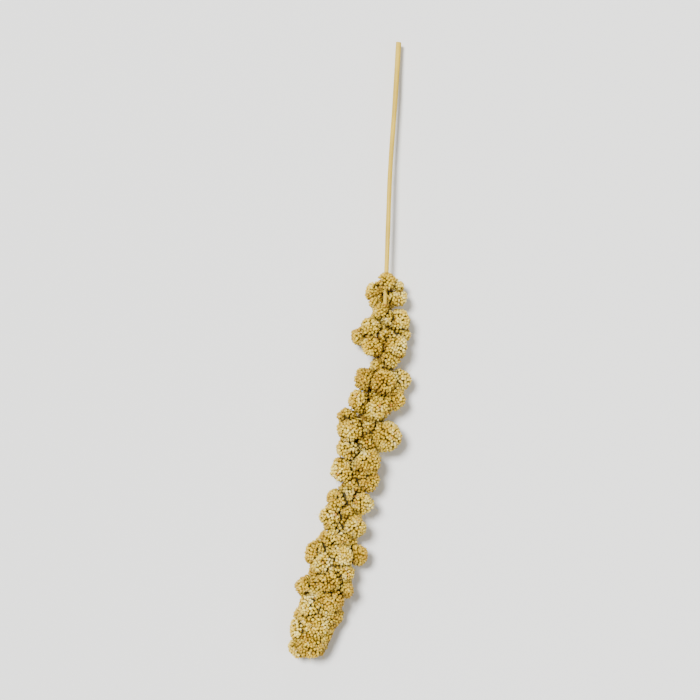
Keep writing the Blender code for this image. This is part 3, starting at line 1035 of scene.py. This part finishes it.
class MILLET_OT_grains(bpy.types.Operator):
    """Husked grains over every lobe in four sections down the head, and a plainer layer under them"""

    bl_idname = "millet.grains"
    bl_label = "Grains"

    def execute(self, context):
        """Each grain is the turned outline scaled by its own width and length, set at its site."""
        sizes = context.scene.millet_sizes
        rng = np.random.default_rng(SEED + 1)
        edges = [begin * MM for _, begin in SECTIONS] + [math.inf]
        whole = turned_form(GRAIN_OUTLINE, GRAIN_SIDES, GRAIN_FLATNESS)
        under = turned_form(UNDER_OUTLINE, UNDER_SIDES, GRAIN_FLATNESS)
        layers = [(name, 0.0, whole, low, high) for (name, _), low, high in zip(SECTIONS, edges, edges[1:])]
        layers.append(("grains_under", sizes.under_depth, under, 0.0, math.inf))
        for name, sink, (template, faces, uv), low, high in layers:
            tips, ways, distances, tones, light = sites_of(context, sink)
            mine = (distances >= low) & (distances < high)
            tips, ways, tones, light = tips[mine], ways[mine], tones[mine], light[mine]
            count = len(tips)
            spins = rng.uniform(0, TURN, count)
            width, length = (
                size * rng.normal(1, GRAIN_SPREAD, count).clip(*GRAIN_LIMITS)
                for size in (sizes.grain_width, sizes.grain_length)
            )
            in_rust = np.linalg.norm(tips - RUST_PLACE, axis=1) < RUST_REACH
            rusty = rng.random(count) < np.where(in_rust, RUST_SHARE_THERE, RUST_SHARE)
            rust = rng.uniform(*RUST_DEPTHS, count)
            tinge = RUST_TINGE * rng.random(count) ** RUST_FALL
            ripe = np.where(rusty, rust, tinge)
            scales = np.column_stack([width, width, length])
            points = copies(template, tips - ways * length[:, None], ways, spins, scales)
            values = {"tone": tones, "ripe": ripe, "open": light, "deep": np.full(count, float(sink > 0))}
            made = write_copies(name, points, faces, grain_material(), uv, values)
            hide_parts("seed_head")
        return {"FINISHED"}


class MILLET_OT_chaff(bpy.types.Operator):
    """Papery glumes that hug some of the grains from the side"""

    bl_idname = "millet.chaff"
    bl_label = "Glumes"

    def execute(self, context):
        """A glume is a thin bowed lens beside its grain.

        At the height t its ring of four points is w(t) wide each way, and stands aside from the
        grain's length by GLUME_ASIDE - GLUME_BOW (t - 0.5)^2.
        """
        sizes = context.scene.millet_sizes
        tips, ways, _, tones, _ = sites_of(context)
        rng = np.random.default_rng(SEED + 2)
        chosen = rng.random(len(tips)) < sizes.chaff_share
        tips, ways, tones = tips[chosen], ways[chosen], tones[chosen]
        count = len(tips)
        spins = rng.uniform(0, TURN, count)
        heights, halves = np.array(GLUME_OUTLINE).T
        aside = GLUME_ASIDE - GLUME_BOW * (heights - 0.5) ** 2
        ring = np.array(GLUME_RING)
        rings = ringed(ring[:, 0] * halves[:, None], ring[:, 1] + aside[:, None], heights)
        template = np.vstack([rings, GLUME_ENDS])
        faces, _ = capped(heights, len(ring))
        length = sizes.grain_length * rng.uniform(*GLUME_LENGTHS, count)
        width = sizes.grain_width * rng.uniform(*GLUME_WIDTHS, count)
        roots = tips - ways * (sizes.grain_length * rng.uniform(*GLUME_ROOTS, count))[:, None]
        points = copies(template, roots, ways, spins, np.column_stack([width, width, length]))
        tones = np.clip(tones + GLUME_TONES * rng.normal(size=count), 0, 1)
        uv = template[faces][:, :, [0, 2]] + 0.5
        piece = write_copies("glumes", points, faces, chaff_material(), uv, {"tone": tones})
        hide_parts("seed_head")
        return {"FINISHED"}


class MILLET_OT_bristles(bpy.types.Operator):
    """Short fine bristles between the grains, and hairs on the stalk inside the head"""

    bl_idname = "millet.bristles"
    bl_label = "Bristles"

    def execute(self, context):
        """A bristle is a three-sided needle that at the height t bows aside by bow x t^2."""
        sizes = context.scene.millet_sizes
        tips, ways, _, tones, _ = sites_of(context)
        rng = np.random.default_rng(SEED + 3)
        chosen = rng.choice(len(tips), min(sizes.bristles, len(tips)), replace=False)
        ways = unit(ways[chosen] + rng.normal(size=(len(chosen), 3)) * BRISTLE_STRAYS)
        roots = tips[chosen] - ways * sizes.grain_length * BRISTLE_ROOT
        template, faces, _ = turned_form(BRISTLE_OUTLINE, BRISTLE_SIDES)
        template[:, 0] += BRISTLE_BOW * template[:, 2] ** 2
        length = sizes.bristle_length * rng.uniform(*BRISTLE_LENGTHS, len(chosen))
        on_stalk = rng.uniform(HEAD_BEGINS, HAIRS_END, sizes.stalk_hairs)
        right, up, ahead = frame_at(on_stalk)
        turn = rng.uniform(0, TURN, (sizes.stalk_hairs, 1))
        roots = np.vstack([roots, on_line(on_stalk)])
        ways = np.vstack([ways, unit(np.cos(turn) * right + np.sin(turn) * up + HAIR_LEAN * ahead)])
        tones = np.concatenate([tones[chosen], np.full(sizes.stalk_hairs, HAIR_TONE)])
        length = np.concatenate([length, rng.uniform(*HAIR_LENGTHS_MM, sizes.stalk_hairs) * MM])
        spins = rng.uniform(0, TURN, len(ways))
        points = copies(template, roots, ways, spins, np.column_stack([length] * 3))
        uv = template[faces][:, :, [0, 2]]
        piece = write_copies("bristles", points, faces, chaff_material(), uv, {"tone": tones})
        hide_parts("seed_head")
        return {"FINISHED"}


def tube(spine, radii, sides):
    """A closed body round a path: at turn u of row i it is spine + radius (cos u a + sin u b)."""
    first, second = side_vectors(unit(np.gradient(spine, axis=0)), np.zeros(len(spine)))
    turns = np.arange(sides)[:, None] * TURN / sides
    round_it = np.cos(turns) * first[:, None] + np.sin(turns) * second[:, None]
    rings = spine[:, None] + radii[..., None] * round_it
    points = np.vstack([rings.reshape(-1, 3), spine[:1], spine[-1:]])
    return points, *capped(np.linspace(0, 1, len(spine)), sides)


class MILLET_OT_branchlets(bpy.types.Operator):
    """Thin branchlets from the stalk to the lobes"""

    bl_idname = "millet.branchlets"
    bl_label = "Branchlets"

    def execute(self, context):
        """Each is a tube that leaves the stalk at a, makes for b ahead of it and bends to its lobe at c.

        Its path is a (1 - t)^2 + 2 b t (1 - t) + c t^2.
        """
        t = np.linspace(0, 1, BRANCHLET_ROWS)[:, None]
        rng = np.random.default_rng(SEED + 4)
        points, faces, maps, total = [], [], [], 0
        for centre, radius in LOOSE + STANDING:
            foot = nearest_distance(centre[None])[0] - BRANCHLET_BACK * radius
            start = on_line(foot)
            bend = start + frame_at(foot)[2] * radius * BRANCHLET_BEND
            spine = start * (1 - t) ** 2 + bend * 2 * t * (1 - t) + centre * t**2
            thickness = (1 - t) * BRANCHLET_FOOT_RADIUS + t * BRANCHLET_END_RADIUS
            radii = thickness * np.ones(BRANCHLET_SIDES) * rng.uniform(*BRANCHLET_THICKNESSES)
            one, its_faces, its_map = tube(spine, radii, BRANCHLET_SIDES)
            points.append(one)
            faces.append(its_faces + total)
            maps.append(its_map)
            total += len(one)
        points, faces, uv = (np.vstack(rows) for rows in (points, faces, maps))
        straw = stalk_material()
        pith = np.zeros(total)
        piece = write_mesh("branchlets", points, faces, straw, uv=uv, values={"pith": pith})
        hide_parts("seed_head")
        return {"FINISHED"}


class MILLET_OT_stalk(bpy.types.Operator):
    """The ridged stalk, from its cut end through the head"""

    bl_idname = "millet.stalk"
    bl_label = "Stalk"

    def execute(self, context):
        """At turn u and distance s the radius is R(s) (1 + ridges + swell).

        The ridges are the sum of a cos(n (u + twist s / length) + phase), and the swell is the sum of
        a sin(k s + phase). At the cut the wall turns in over a rim to a sunken pith.
        """
        end = LENGTH - STALK_END_BEFORE_TIP
        distances = np.linspace(STALK_WALL_BEGINS, end, STALK_ROWS)
        radii = (STALK_CUT_RADIUS, STALK_HEAD_RADIUS, STALK_END_RADIUS)
        radii = np.interp(distances, (0, HEAD_BEGINS, end), radii)
        turns = np.arange(STALK_SIDES) * TURN / STALK_SIDES
        wound = turns + STALK_TWIST * distances[:, None] / LENGTH
        ridges = sum(size * np.cos(count * wound + phase) for count, size, phase in STALK_RIDGES)
        swell = sum(size * np.sin(pace * distances + phase) for pace, size, phase in STALK_SWELLS)
        wall = radii[:, None] * (1 + ridges + swell[:, None])
        rim_shares, rim_insets = np.array(STALK_RIM).T
        rim = wall[:1] * rim_shares[:, None]
        spine = on_line(np.concatenate([rim_insets * MM, distances]))
        points, faces, uv = tube(spine, np.vstack([rim, wall]), STALK_SIDES)
        right, _, ahead = frame_at(STALK_WALL_BEGINS)
        from_cut = points - on_line(0.0)
        near_cut = np.clip(1 - (from_cut @ ahead) / STALK_SLANT_REACH, 0, 1)
        points = points + ahead * (STALK_SLANT * (from_cut @ right) * near_cut)[:, None]
        pith = np.zeros(len(points))
        pith[: PITH_RINGS * STALK_SIDES] = 1
        pith[-2] = PITH_AT_MIDDLE
        straw = stalk_material()
        piece = write_mesh("stalk", points, faces, straw, uv=uv, values={"pith": pith})
        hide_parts("stem")
        return {"FINISHED"}


class MILLET_OT_stage(bpy.types.Operator):
    """A pale floor, soft lights and a camera straight above"""

    bl_idname = "millet.stage"
    bl_label = "Stage"

    def execute(self, context):
        """The camera looks straight down, with the cut end of the stem at the top of the picture."""
        scene = context.scene
        middle = (Vector(CAD_BOX[0]) + Vector(CAD_BOX[1])) / 2
        mesh = bpy.data.meshes.new("floor")
        far = FLOOR_REACH
        mesh.from_pydata([(-far, -far, 0), (far, -far, 0), (far, far, 0), (-far, far, 0)], [], [(0, 1, 2, 3)])
        pale = (*scene.millet_colours.floor, 1)
        made, _, _ = new_material("pale_floor", Roughness=0.7, Specular_IOR_Level=0.3, Base_Color=pale)
        mesh.materials.append(made)
        floor = add_object("floor", mesh)
        key = bpy.data.lights.new("key", "SUN")
        key.angle = KEY_ANGLE
        key.energy = KEY_STRENGTH
        lamps = [(key, KEY_FROM)]
        for name, place, size, power in SOFT_LIGHTS:
            light = bpy.data.lights.new(name, "AREA")
            light.size = size
            light.energy = power
            lamps.append((light, place))
        for light, place in lamps:
            lamp = add_object(light.name, light)
            lamp.location = middle + Vector(place)
            lamp.rotation_euler = (-Vector(place)).to_track_quat("-Z", "Y").to_euler()
        world = bpy.data.worlds.new("soft_studio")
        world.use_nodes = True
        sky = world.node_tree.nodes["Background"]
        fill(world.node_tree, sky, Color=(*SKY_COLOUR, 1), Strength=SKY_STRENGTH)
        scene.world = world
        camera = bpy.data.cameras.new("camera")
        camera.lens = camera.sensor_width * CAMERA_HEIGHT / CAMERA_SHOWS
        viewer = add_object("camera", camera)
        viewer.location = middle + Vector((0, 0, CAMERA_HEIGHT))
        scene.camera = viewer
        return {"FINISHED"}


class MILLET_PT_panel(bpy.types.Panel):
    """The sizes and colours, and a button for each piece"""

    bl_label = "Millet seed head"
    bl_idname = "MILLET_PT_panel"
    bl_space_type = "VIEW_3D"
    bl_region_type = "UI"
    bl_category = "Millet"

    def draw(self, context):
        for group in (context.scene.millet_sizes, context.scene.millet_colours):
            column = self.layout.column(align=True)
            for label in group.__annotations__:
                column.prop(group, label)
        for operator in OPERATORS:
            self.layout.operator(operator.bl_idname)


OPERATORS = (
    MILLET_OT_core,
    MILLET_OT_grains,
    MILLET_OT_chaff,
    MILLET_OT_bristles,
    MILLET_OT_branchlets,
    MILLET_OT_stalk,
    MILLET_OT_stage,
)
CLASSES = (MilletSizes, MilletColours, *OPERATORS, MILLET_PT_panel)


def register():
    """Makes the classes and the two groups of settings known."""
    for made in CLASSES:
        bpy.utils.register_class(made)
    bpy.types.Scene.millet_sizes = bpy.props.PointerProperty(type=MilletSizes)
    bpy.types.Scene.millet_colours = bpy.props.PointerProperty(type=MilletColours)


def unregister():
    """Takes them away again, last first."""
    del bpy.types.Scene.millet_colours
    del bpy.types.Scene.millet_sizes
    for made in reversed(CLASSES):
        bpy.utils.unregister_class(made)


def main():
    """Builds every piece in order."""
    register()
    bpy.ops.millet.core()
    bpy.ops.millet.grains()
    bpy.ops.millet.chaff()
    bpy.ops.millet.bristles()
    bpy.ops.millet.branchlets()
    bpy.ops.millet.stalk()
    bpy.ops.millet.stage()


if __name__ == "__main__":
    main()
